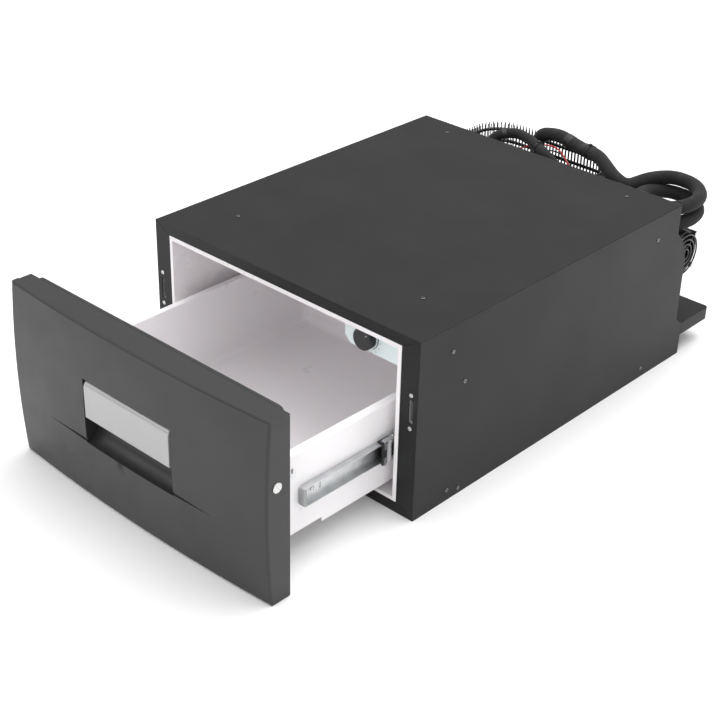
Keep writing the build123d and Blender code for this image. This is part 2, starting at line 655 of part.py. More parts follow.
def tub():
    """A drawer tub with a double wall: inner tub, rim and outer skirt in one moulding."""
    y0, y1 = TUB_Y
    z0, z1 = TUB_Z
    outer = block(-TUB_HALF, TUB_HALF, y0, y1, z0, z1)
    rear_corners = outer.edges().filter_by(Axis.Z).group_by(Axis.Y)[-1]
    outer = fillet(rear_corners, 14)
    outer = fillet(outer.edges().group_by(Axis.Z)[-1], 2.5)

    hollow = block(-TUB_HALF + SKIN, TUB_HALF - SKIN, y0 + SKIN, y1 - SKIN, z0 - 1, z1 - SKIN)
    hollow = fillet(hollow.edges().filter_by(Axis.Z), 11.5)
    wall = TUB_WALL - SKIN
    core = block(-TUB_HALF + wall, TUB_HALF - wall, y0 + wall, y1 - wall, z0 - 2, z1)
    core = fillet(core.edges().filter_by(Axis.Z), 12)

    cavity = block(-TUB_HALF + TUB_WALL, TUB_HALF - TUB_WALL, y0 + TUB_WALL, y1 - TUB_WALL,
                   z0 + TUB_FLOOR_T, z1 + 1)
    cavity = fillet(cavity.edges().filter_by(Axis.Z), 12)
    cavity = fillet(cavity.edges().group_by(Axis.Z)[0], 9)
    body = outer - (hollow - core) - cavity

    body -= block(-TUB_HALF - 1, TUB_HALF + 1, y0 - 1, 90, z0 - 1, z0 + 6)  # raised front of the skirt
    body += block(-TUB_HALF + wall, TUB_HALF - wall, y0, 90.5, z0 + 6.1 - TUB_FLOOR_T, z0 + 6.2)
    for side in (-1, 1):
        body += block(side * (TUB_HALF - 1), side * (TUB_HALF + 0.15), 89, 90.4, z0, z0 + 26)
    for x, y, z in inner_rail_screw_places():
        body -= rod((x, y, z), (-1, 0, 0), 3.8, SCREW_R)
        body -= rod((-x, y, z), (1, 0, 0), 3.8, SCREW_R)
    for x, z in front_screw_places():
        body -= rod((x, -1, z), (0, 1, 0), 14, SCREW_R)
    return body


def front_screws():
    """Screws through the front wall of the tub into the drawer front."""
    seat_y = TUB_Y[0] + TUB_WALL
    return group([pan_screw((x, seat_y, z), (0, 1, 0), 20) for x, z in front_screw_places()])


def pivot_pins():
    """The two slotted shoulder bolts that carry the latch and the long pin that carries the handle."""
    bolts = []
    y, z = SHAFT_PIVOT
    head = rod((FRONT_HALF + GAP, y, z), (1, 0, 0), 1.5, 6.2)
    rim = head.edges().filter_by(GeomType.CIRCLE).sort_by(Axis.X)[-1]
    head = fillet(rim, 0.6)
    head -= Pos(FRONT_HALF + 1.6, y, z) * Rot(35, 0, 0) * Box(1.4, 1.2, 14)
    bolts += both(head + rod((FRONT_HALF + 0.1, y, z), (-1, 0, 0), 16, SHOULDER_R))
    y, z = HANDLE_PIVOT
    bolts.append(rod((-RECESS_HALF - 2, y, z), (1, 0, 0), 2 * RECESS_HALF + 4, PIN_R))
    return group(bolts)




# ---- handle and latch ---------------------------------------------------------------------------
def handle():
    y, z = HANDLE_PIVOT
    barrel = rod((-HANDLE_HALF, y, z), (1, 0, 0), 2 * HANDLE_HALF, HANDLE_R)
    barrel = fillet(barrel.edges().filter_by(GeomType.CIRCLE), 1.2)
    face = y - HANDLE_R
    plate = block(-HANDLE_HALF, HANDLE_HALF, face, face + HANDLE_T, HANDLE_BOTTOM, z)
    plate = fillet(plate.edges().filter_by(Axis.X).group_by(Axis.Z)[0], 1.6)
    body = barrel + plate
    for side in (-1, 1):
        arm_x = side * (CLAW_X + 3.6)
        body += block(arm_x - 1.2, arm_x + 1.2, face + 1, -13.4, 126, 132)
        body += block(side * (CLAW_X - 1.5), side * (CLAW_X + 4), -16.2, -13.4, 126, 132)
        body += block(arm_x - 1.2, arm_x + 1.2, face + 1, face + 12, 120, 150)
    return body - rod((-100, y, z), (1, 0, 0), 200, PIN_R + RUN)


def latch_shaft():
    y, z = SHAFT_PIVOT
    length = 2 * (LATCH_X - 1.6)
    shaft = rod((-length / 2, y, z), (1, 0, 0), length, SHAFT_R)
    for side in (-1, 1):
        x = side * CLAW_X
        shaft += block(x - 1.5, x + 1.5, y - 2, y + 2, 128, z)
        shaft += ring((x - 3, y, z), (1, 0, 0), 6, SHAFT_R + 1.6, SHAFT_R - 1)
    return shaft - rod((-length, y, z), (1, 0, 0), 2 * length, SHOULDER_R + RUN)


def latch_hook():
    y, z = SHAFT_PIVOT
    x0, x1 = LATCH_X - 1.3, LATCH_X + 1.3
    outline = [(y, z + 5), (4.5, z + 2.5), (7.6, z + 3.0), (7.8, STRIKE_Z[1] - 1.2), (9.4, STRIKE_Z[1] - 1.2),
               (13.0, z + 0.5), (12.2, z - 4), (8.5, z - 6), (y, z - 5)]
    hook = prism(outline, x0, x1) + rod((x0, y, z), (1, 0, 0), x1 - x0, 7.5)
    return hook - rod((x0 - 1, y, z), (1, 0, 0), 5, SHOULDER_R + RUN)


def handle_springs():
    """Torsion springs that hold the latch up, one round the shaft on each side of the recess."""
    springs = []
    y, z = SHAFT_PIVOT
    wire = 0.5
    radius = SHAFT_R + 1.3
    coil = Helix(pitch=1.25, height=8.75, radius=radius)
    body = sweep(Plane(origin=coil @ 0, z_dir=coil % 0) * Circle(wire), path=coil)
    body = Pos(52, y, z) * Rot(0, 90, 0) * body
    springs += both(body)
    return group(springs)


# ---- cooling unit -------------------------------------------------------------------------------
def rear_bracket():
    """The side plate that carries the tray, lapped inside the cabinet's side."""
    lap = HALF - SHEET - GAP
    front = DEPTH + GAP
    outline = [(front, 0), (BRACKET_REAR, 0), (BRACKET_REAR, 46), (549, 52), (541, 60), (541, 150),
               (528, 182), (front, BRACKET_TOP)]
    plate = prism(outline, HALF - SHEET, HALF)
    joggle = block(lap - SHEET, lap, DEPTH - 28, DEPTH + 20, 16, 150)
    under = TRAY_Z - 1.5 - GAP
    ledge = block(HALF - 17, HALF - SHEET, DEPTH + 4, BRACKET_REAR - 2, under - SHEET, under)
    web = block(lap - SHEET, HALF - SHEET + 0.1, DEPTH + 2, DEPTH + 20, 20, 100)
    bracket = plate + joggle + ledge + web
    return bracket - screw_holes(SCREW_R + 0.1)


def unit_tray():
    inner = HALF - 2 * SHEET - 4 * GAP
    t = 1.5
    plate = block(-inner, inner, DEPTH + 2, TRAY_REAR, TRAY_Z - t, TRAY_Z)
    plate += block(-HALF, HALF, BRACKET_REAR + 0.5, TRAY_REAR, TRAY_Z - t, TRAY_Z)
    plate = fillet(plate.edges().filter_by(Axis.Z).group_by(Axis.Y)[-1], 4)
    skirt = block(-HALF, HALF, BRACKET_REAR + 0.5, TRAY_REAR, TRAY_Z - TRAY_LIP, TRAY_Z)
    skirt = fillet(skirt.edges().filter_by(Axis.Z).group_by(Axis.Y)[-1], 4)
    skirt -= block(-HALF + t, HALF - t, 0, TRAY_REAR - t, 0, TRAY_Z)
    tray = plate + skirt
    tray = fillet(tray.edges().group_by(Axis.Z)[-1].filter_by(Axis.X).group_by(Axis.Y)[-1], 1.0)
    for x, y in foot_places():
        tray -= rod((x, y, 0), (0, 0, 1), 100, 3.0)
    for x in (-80.0, -58.0, -36.0):
        tray -= block(x - 4, x + 4, 545, 580, 40, 60)
    return tray


def foot_places():
    x, y = COMP
    return [(x + sx * 74, y + sy * 30) for sx in (-1, 1) for sy in (-1, 1)]


def rubber_feet():
    feet = []
    for x, y in foot_places():
        foot = rod((x, y, TRAY_Z), (0, 0, 1), 13, 8) - ring((x, y, TRAY_Z + 7), (0, 0, 1), 3.1, 10, 6)
        feet.append(foot - rod((x, y, 0), (0, 0, 1), 100, 3.0))
    return group(feet)


def foot_bolts():
    bolts = []
    for x, y in foot_places():
        bolt = rod((x, y, TRAY_Z - 6), (0, 0, 1), 21, 2.9)
        bolt += extrude(Pos(x, y, TRAY_Z + 13.05) * RegularPolygon(5, 6), 4)
        bolt += extrude(Pos(x, y, TRAY_Z - 6) * RegularPolygon(5, 6), 4)
        bolts.append(bolt)
    return group(bolts)


def compressor_shell():
    x, y = COMP
    a, b = COMP_HALF
    z0, z1 = COMP_Z
    body = Pos(x, y, z0) * extrude(Ellipse(a, b), z1 - z0)
    body = fillet(body.edges().group_by(Axis.Z)[-1], 24)
    body = fillet(body.edges().group_by(Axis.Z)[0], 12)
    body += Pos(x, y, z0 + 66) * extrude(Ellipse(a + 2.2, b + 1.6), 5)
    body += rod((SUCTION[0], SUCTION[1], z0 + 80), (0, 0, 1), SUCTION[2] - z0 - 80, 4.2)
    body += rod((x + a - 6, y - 16, z0 + 90), (1, 0, 0), 14, 3.2)
    body += rod((LOOM_END[0], LOOM_END[1], 150), (0, 0, 1), LOOM_END[2] - 0.1 - 150, 5)
    return body


def compressor_base():
    x, y = COMP
    z = TRAY_Z + 7.05
    plate = block(x - 84, x + 84, y - 40, y + 40, z, z + 3)
    plate = fillet(plate.edges().filter_by(Axis.Z), 10)
    cradle = Pos(x, y, z) * extrude(Ellipse(52, 30), 12)
    plate += cradle
    plate -= compressor_shell()
    for fx, fy in foot_places():
        plate -= rod((fx, fy, z - 1), (0, 0, 1), 5, 6.05)
    return plate


def power_module():
    """The electronic unit that drives the compressor, with its terminal row."""
    x0, x1, y0, y1, z0, z1 = 62, 120, 530, 606, TRAY_Z + 0.1, 92
    body = fillet(block(x0, x1, y0, y1, z0, z1).edges().filter_by(Axis.Z), 3)
    for i in range(9):
        x = x0 + 8 + 5.2 * i
        body -= block(x, x + 2.4, y0 + 6, y1 - 22, z1 - 5, z1 + 1)
    body -= block(x0 + 5, x1 - 5, y1 - 14, y1 + 1, z1 - 14, z1 + 1)
    return body


def terminal_screws():
    screws = []
    for i in range(5):
        x = 71 + 10 * i
        tag = block(x - 3.6, x + 3.6, 594, 604, 78.05, 80.5)
        screws.append(tag + rod((x, 599, 80.4), (0, 0, 1), 2.4, 2.8))
    return group(screws)


def condenser_edges(z):
    """One row of the condenser: left leg, rear run and right leg, with round corners."""
    x0, x1 = COND_X
    r = COND_CORNER
    y = COND_REAR
    diagonal = r * (1 - cos(pi / 4))
    left = Line((x0, COND_FRONT, z), (x0, y - r, z))
    left_bend = ThreePointArc((x0, y - r, z), (x0 + diagonal, y - diagonal, z), (x0 + r, y, z))
    rear = Line((x0 + r, y, z), (x1 - r, y, z))
    right_bend = ThreePointArc((x1 - r, y, z), (x1 - diagonal, y - diagonal, z), (x1, y - r, z))
    right = Line((x1, y - r, z), (x1, COND_FRONT, z))
    return [left, left_bend, rear, right_bend, right]


def condenser_tube():
    edges = []
    half = ROW_PITCH / 2
    for i in range(COND_ROWS):
        z = COND_Z0 + i * ROW_PITCH
        edges += [e for line in condenser_edges(z) for e in line.edges()]
        if i < COND_ROWS - 1:
            x = COND_X[1] if i % 2 == 0 else COND_X[0]
            bend = ThreePointArc((x, COND_FRONT, z), (x, COND_FRONT - half, z + half),
                                 (x, COND_FRONT, z + ROW_PITCH))
            edges += bend.edges()
    path = Wire(edges)
    start = Plane(origin=path @ 0, z_dir=path % 0)
    return sweep(start * Circle(TUBE_R), path=path)


def condenser_wires():
    path = Wire([e for line in condenser_edges(0) for e in line.edges()])
    count = int(path.length / WIRE_PITCH)
    wires = []
    offset = TUBE_R + WIRE_R + 0.02
    for i in range(1, count):
        position = i * WIRE_PITCH / path.length
        point = path @ position
        tangent = path % position
        top = WIRE_Z[1] if point.X < COND_X[1] - 1 else WIRE_TOP_RIGHT
        for side in (-1, 1):
            x = point.X - side * tangent.Y * offset
            y = point.Y + side * tangent.X * offset
            wires.append(rod((x, y, WIRE_Z[0]), (0, 0, 1), top - WIRE_Z[0], WIRE_R))
    return group(wires)


def condenser_brackets():
    """Feet that hold the condenser's lowest row to the tray."""
    brackets = []
    for x in (-110.0, -10.0):
        foot = block(x - 6, x + 6, 604, 622.4, TRAY_Z, TRAY_Z + 1.2)
        post = block(x - 1.5, x + 1.5, 621.4, 622.4, TRAY_Z, COND_Z0 + 5 * ROW_PITCH)
        brackets.append(foot + post)
    return group(brackets)


def fan_frame():
    """A round axial fan housing with four screw bosses, blowing across the unit."""
    x, y, z = FAN
    x0 = x - FAN_DEPTH / 2
    frame = ring((x0, y, z), (1, 0, 0), FAN_DEPTH, FAN_HALF, FAN_HALF - 2)
    for fy, fz in fan_screw_places():
        boss = rod((x0, fy, fz), (1, 0, 0), FAN_DEPTH, 3.6) - rod((x0, y, z), (1, 0, 0), FAN_DEPTH, FAN_HALF - 1)
        frame += boss
    hub = rod((x0, y, z), (1, 0, 0), 4, 14)
    spokes = block(x0, x0 + 3, y - FAN_HALF + 1, y + FAN_HALF - 1, z - 1.5, z + 1.5)
    spokes += block(x0, x0 + 3, y - 1.5, y + 1.5, z - FAN_HALF + 1, z + FAN_HALF - 1)
    stator = rod((x0 + 3, y, z), (1, 0, 0), 12, 8) - rod((x0 + 3, y, z), (1, 0, 0), 15, 2.05)
    frame += hub + spokes + stator
    for fy, fz in fan_screw_places():
        frame -= rod((x0 - 1, fy, fz), (1, 0, 0), FAN_DEPTH + 2, 1.8)
    return frame


def fan_screw_places():
    y, z = FAN[1], FAN[2]
    return [(y + a * FAN_PITCH, z + b * FAN_PITCH) for a in (-1, 1) for b in (-1, 1)]


def fan_rotor():
    x, y, z = FAN
    cup = rod((x - 7, y, z), (1, 0, 0), 17, 13) - rod((x - 8, y, z), (1, 0, 0), 16, 11)
    rotor = cup + rod((x - 8.1, y, z), (1, 0, 0), 16.6, 2.0)
    blades = 7
    root, tip = 12.4, 28.0
    for i in range(blades):
        blade = Box(1.2, 13, tip - root)
        blade = Pos(x + 0.5, 0, 0) * Rot(0, 0, 38) * Pos(0, 0, (root + tip) / 2) * blade
        turned = Pos(0, y, z) * Rot(360 / blades * i, 0, 0) * Pos(-(x + 0.5), 0, 0)
        rotor += turned * Pos(x + 0.5, 0, 0) * blade
    return rotor


def fan_guard():
    """The finger guard on the fan's outer face: rings on four spokes that end in screw loops."""
    x = FAN[0] + FAN_DEPTH / 2 + 3.6
    y, z = FAN[1], FAN[2]
    wire = 1.1
    pieces = []
    for radius in (28.4, 21.6, 14.9, 8.2):
        pieces.append(Plane(origin=(x, y, z), z_dir=(1, 0, 0)) * Torus(radius, wire))
    back = x - 2 * wire - 0.02
    loop_r = 3.6
    for fy, fz in fan_screw_places():
        reach = hypot(fy - y, fz - z)
        out = ((fy - y) / reach, (fz - z) / reach)
        start = (back, y + 7 * out[0], z + 7 * out[1])
        pieces.append(rod(start, (0, out[0], out[1]), reach - 7 - loop_r - 0.05, wire))
        pieces.append(ring((back - wire, fy, fz), (1, 0, 0), 2 * wire, loop_r, 1.9))
    return group(pieces)


def fan_screws():
    screws = []
    x = FAN[0] + FAN_DEPTH / 2 + 2.55
    for fy, fz in fan_screw_places():
        screws.append(rod((x, fy, fz), (1, 0, 0), 1.4, 3.2) + rod((x + 0.1, fy, fz), (-1, 0, 0), 31, 1.7))
    return group(screws)


def fan_bracket():
    """The upright plate that holds the fan, open at the top, on a foot screwed to the tray."""
    x0 = FAN[0] - FAN_DEPTH / 2 - 1.3
    y, z = FAN[1], FAN[2]
    plate = block(x0, x0 + 1.25, y - 33, y + 33, TRAY_Z + 0.05, z + 27.5)
    plate = fillet(plate.edges().filter_by(Axis.X).group_by(Axis.Z)[-1], 5)
    plate -= rod((x0 - 1, y, z), (1, 0, 0), 4, FAN_HALF - 3)
    plate += block(x0 - 14, x0 + 1.25, y - 33, y + 33, TRAY_Z + 0.05, TRAY_Z + 1.3)
    for fy, fz in fan_screw_places():
        plate -= rod((x0 - 1, fy, fz), (1, 0, 0), 4, 1.75)
    return plate


def filter_drier():
    x, y = 146.0, 600.0
    can = rod((x, y, 74), (0, 0, 1), 70, 8.5)
    can = fillet(can.edges().filter_by(GeomType.CIRCLE), 4)
    return can + rod((x, y, 66), (0, 0, 1), 10, 2.6) + rod((x, y, 142), (0, 0, 1), 14, 1.8)


def discharge_line():
    x, y = COMP
    z = COMP_Z[0] + 90
    start = (x + COMP_HALF[0] + 8.1, y - 16, z)
    top = COND_Z0 + (COND_ROWS - 1) * ROW_PITCH
    end = (COND_X[1], COND_FRONT - 0.1, top)
    route = [start, (start[0] + 12, start[1], z), (start[0] + 16, COND_FRONT - 3, z + 20),
             (COND_X[1] - 5, COND_FRONT - 7, top - 14), (COND_X[1], COND_FRONT - 6.5, top), end]
    return round_pipe(route, bend_radii(route, 12), 1.6)


def liquid_line():
    start = (COND_X[0], COND_FRONT - 0.1, COND_Z0)
    low = COND_Z0 - 9
    route = [start, (COND_X[0], COND_FRONT - 6, COND_Z0), (COND_X[0] + 20, COND_FRONT - 6, low),
             (90, COND_FRONT - 6, low), (134, 527, low + 1), (138, 590, low + 1), (146, 600, low + 1),
             (146, 600, 65.9)]
    return round_pipe(route, bend_radii(route, 14), 1.6)


def loom_route():
    """The thin hose: out of the rear panel and over to the terminal post on the compressor."""
    x, z, _ = HOSE_PORTS[0]
    return [(x, REAR_PANEL_Y - 18, z), (x, 530, z), (x, 548, 226), (-92, 566, 234), (-62, 560, 232),
            (-20, 541, 228), (LOOM_END[0], LOOM_END[1], 214), LOOM_END]


def loom_hose():
    route = loom_route()
    return round_pipe(route, bend_radii(route, 60), LOOM_R)


def coil_points():
    """Two loose turns about an upright axis, as the corners of a stepped eight-sided spiral."""
    points = []
    steps = 8
    reach = COIL_R / cos(pi / steps)
    for i in range(COIL_CORNERS):
        angle = radians(115) - 2 * pi * i / steps
        z = 228 - 22.0 * i / steps
        spread = reach + 1.2 * sin(1.7 * i)
        points.append((COIL[0] + spread * cos(angle), COIL[1] + spread * sin(angle), z))
    return points


def suction_route():
    """The suction hose: up from the compressor, across the condenser, round the coil, into the cabinet."""
    lead = [(SUCTION[0], SUCTION[1], SUCTION[2] + 0.1), (-77, 600, 227), (-44, 604, 233), (3, 594, 229),
            (42, 580, 233), (80, 564, 219), (104, 560, 213), (122, 592, 222)]
    x, z, _ = HOSE_PORTS[1]
    tail = [(126, 529, 180), (x, 536, z), (x, REAR_PANEL_Y - 18, z)]
    return lead + coil_points() + tail


def suction_hose():
    route = suction_route()
    return round_pipe(route, bend_radii(route, 60), HOSE_R)


def hose_ties():
    ties = []
    for route, index, radius in ((loom_route(), 4, LOOM_R), (suction_route(), 3, HOSE_R)):
        a, b = Vector(route[index]), Vector(route[index + 1])
        middle = a + (b - a) * 0.5
        ties.append(ring(tuple(middle), b - a, 4, radius + 1.2, radius + 0.02))
    return group(ties)


def fan_lead(lift):
    """One of the two leads from the module to the fan; lift sets them apart."""
    rim = FAN[1] + FAN_HALF + 0.3
    route = [(100, 606.3, 84), (104, 614, 88), (128, 616, 100), (168, 612, 112), (180, 608, 122),
             (FAN[0] - 4, rim + 18, FAN[2] - 6), (FAN[0] - 4, rim, FAN[2] - 2)]
    route = [(x - lift / 2, y, z + lift) for x, y, z in route]
    return round_pipe(route, bend_radii(route, 20), 1.1)


def housing_screws():
    return group([pan_screw(seat, outward) for seat, outward in housing_screw_seats()])


# ---- write the nodes ----------------------------------------------------------------------------
def main():
    os.makedirs("parts", exist_ok=True)

    save("outer_wrap", outer_wrap())
    save("front_frame", front_frame())
    save("base_pan", base_pan())
    save("rear_panel", rear_panel())
    save("liner", liner())
    save("insulation", insulation())
    save("housing_screws", housing_screws())
    save("strike_plates", group(both(strike_plate())))
    save("zinc_screws", zinc_screws())

    save("outer_rails", group(both(outer_rail())))
    save("outer_rail_screws", outer_rail_screws())
    save("ball_cage_right", ball_cage())
    save("ball_cage_left", mirrored(ball_cage()))
    save("cage_stop_right", cage_stop())
    save("cage_stop_left", mirrored(cage_stop()))
    balls = cage_balls()
    save("balls_right", group(balls[0::2]))
    save("balls_left", group(balls[1::2]))

    save("evaporator", evaporator())
    save("thermostat_box", thermostat_box())
    save("thermostat_switch", thermostat_switch())
    save("thermostat_probe", thermostat_probe())
    save("thermostat_knob", thermostat_knob())

    save("rear_brackets", group(both(rear_bracket())))
    save("unit_tray", unit_tray())
    save("compressor_shell", compressor_shell())
    save("compressor_base", compressor_base())
    save("rubber_feet", rubber_feet())
    save("foot_bolts", foot_bolts())
    save("power_module", power_module())
    save("terminal_screws", terminal_screws())
    save("condenser_tube", condenser_tube())
    save("condenser_wires", condenser_wires())
    save("condenser_brackets", condenser_brackets())
    save("fan_frame", fan_frame())
    save("fan_rotor", fan_rotor())
    save("fan_guard", fan_guard())
    save("fan_screws", fan_screws())
    save("fan_bracket", fan_bracket())
    save("filter_drier", filter_drier())
    save("discharge_line", discharge_line())
    save("liquid_line", liquid_line())
    save("loom_hose", loom_hose())
    save("suction_hose", suction_hose())
    save("hose_ties", hose_ties())
    save("fan_lead_red", fan_lead(3.4))
    save("fan_lead_black", fan_lead(0))

    save("front_cover", pulled(front_cover()))
    save("front_panel", pulled(front_panel()))
    save("front_foam", pulled(front_foam()))
    save("gasket", pulled(gasket()))
    save("tub", pulled(tub()))
    save("front_screws", pulled(front_screws()))
    save("inner_rails", pulled(group(both(inner_rail()))))
    save("inner_rail_screws", pulled(inner_rail_screws()))
    save("rail_bumpers", pulled(group(both(rail_bumper()))))
    save("pivot_pins", pulled(pivot_pins()))
    save("handle", pulled(handle()))
    save("latch_shaft", pulled(latch_shaft()))
    save("latch_hooks", pulled(group(both(latch_hook()))))
    save("handle_springs", pulled(handle_springs()))


if __name__ == "__main__":
    main()
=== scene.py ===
"""Looks for the pull-out drawer fridge: camera, studio, finishes and the small pieces that CAD leaves out.

Everything is in metres in the row frame: +X to the right, +Y to the rear, +Z up, with the origin at the
centre of the cabinet's underside. New pieces are grids of points worked out as whole numpy arrays.
"""
import bmesh
import bpy
import json
import math
import numpy as np
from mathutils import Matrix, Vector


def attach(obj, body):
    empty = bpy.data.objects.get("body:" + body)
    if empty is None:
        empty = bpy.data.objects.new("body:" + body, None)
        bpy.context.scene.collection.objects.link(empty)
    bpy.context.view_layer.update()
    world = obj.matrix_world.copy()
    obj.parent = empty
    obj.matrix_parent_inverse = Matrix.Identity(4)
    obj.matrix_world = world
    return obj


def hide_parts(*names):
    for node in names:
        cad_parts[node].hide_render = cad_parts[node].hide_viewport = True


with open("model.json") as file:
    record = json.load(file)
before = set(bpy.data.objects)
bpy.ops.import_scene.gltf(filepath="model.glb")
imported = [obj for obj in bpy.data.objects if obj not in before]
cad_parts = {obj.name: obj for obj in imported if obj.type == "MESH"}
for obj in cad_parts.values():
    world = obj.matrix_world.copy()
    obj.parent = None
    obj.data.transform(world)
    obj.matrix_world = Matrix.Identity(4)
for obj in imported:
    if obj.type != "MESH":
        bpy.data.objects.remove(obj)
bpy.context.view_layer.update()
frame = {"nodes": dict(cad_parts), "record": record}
NODES = frame["nodes"]

MM = 0.001
CABINET_FRONT = -0.257            # front plane of the cabinet in the row frame
DRAWER_BACK = CABINET_FRONT - 0.193
FRONT_Y = CABINET_FRONT / MM      # the same plane in millimetres, for pieces drawn from it
THIN_HOSE = 7.3                   # radii of the two hoses, mm
THICK_HOSE = 9.5
PANEL_Y = 511.7                   # foot of the hose collars on the rear panel, mm behind the front
KNOB_CENTRE = (120.5, 196.5)      # x and z of the thermostat's knob, mm
KNOB_FACE = 13.5                  # its face, mm behind the cabinet's front
THERMOSTAT_FACE = 24.0            # the front of the thermostat's housing


# ---- camera and studio ---------------------------------------------------------------------------
def set_camera():
    data = bpy.data.cameras.new("camera")
    data.lens = 75.69
    data.sensor_width = 36.0
    data.clip_end = 20.0
    camera = bpy.data.objects.new("camera", data)
    camera.location = (1.12886, -1.34885, 1.04338)
    camera.rotation_euler = [math.radians(a) for a in (59.714, -1.285, 43.159)]
    bpy.context.scene.collection.objects.link(camera)
    bpy.context.scene.camera = camera


def area_light(name, place, aim, size, power):
    """A rectangular soft light at a place, turned to face the aim point."""
    data = bpy.data.lights.new(name, "AREA")
    data.shape = "RECTANGLE"
    data.size, data.size_y = size
    data.energy = power
    light = bpy.data.objects.new(name, data)
    light.location = place
    way = Vector(aim) - Vector(place)
    light.rotation_euler = way.to_track_quat("-Z", "Y").to_euler()
    bpy.context.scene.collection.objects.link(light)


def set_studio():
    """White surroundings that are dim near the horizon and bright overhead, with three soft lights."""
    world = bpy.data.worlds.new("studio")
    world.use_nodes = True
    nodes, links = world.node_tree.nodes, world.node_tree.links
    nodes["Background"].inputs["Color"].default_value = (1, 1, 1, 1)
    height = nodes.new("ShaderNodeSeparateXYZ")
    links.new(nodes.new("ShaderNodeTexCoord").outputs["Generated"], height.inputs[0])
    ramp = nodes.new("ShaderNodeMapRange")
    ramp.inputs["From Min"].default_value, ramp.inputs["From Max"].default_value = 0.15, 0.8
    ramp.inputs["To Min"].default_value, ramp.inputs["To Max"].default_value = 0.22, 1.25
    links.new(height.outputs["Z"], ramp.inputs["Value"])
    links.new(ramp.outputs["Result"], nodes["Background"].inputs["Strength"])
    bpy.context.scene.world = world
    bpy.context.scene.view_settings.view_transform = "Standard"
    area_light("overhead", (0.3, 0.5, 2.4), (0, 0, 0.1), (2.2, 2.2), 40)
    area_light("front_left", (-1.9, -2.2, 1.5), (0, -0.3, 0.1), (1.4, 1.4), 8)
    area_light("front_right", (1.6, -2.4, 1.1), (0, -0.3, 0.1), (1.0, 1.4), 9)


def studio_floor():
    """A flat square at the height of the cabinet's underside."""
    half = 12.0
    mesh = bpy.data.meshes.new("floor")
    corners = [(-half, -half, 0), (half, -half, 0), (half, half, 0), (-half, half, 0)]
    mesh.from_pydata(corners, [], [(0, 1, 2, 3)])
    floor = bpy.data.objects.new("floor", mesh)
    bpy.context.scene.collection.objects.link(floor)
    paper = Finish("studio_paper", (0.97, 0.97, 0.97), 0.8)
    paper.tone(3.0, 0.01)
    mesh.materials.append(paper.material)


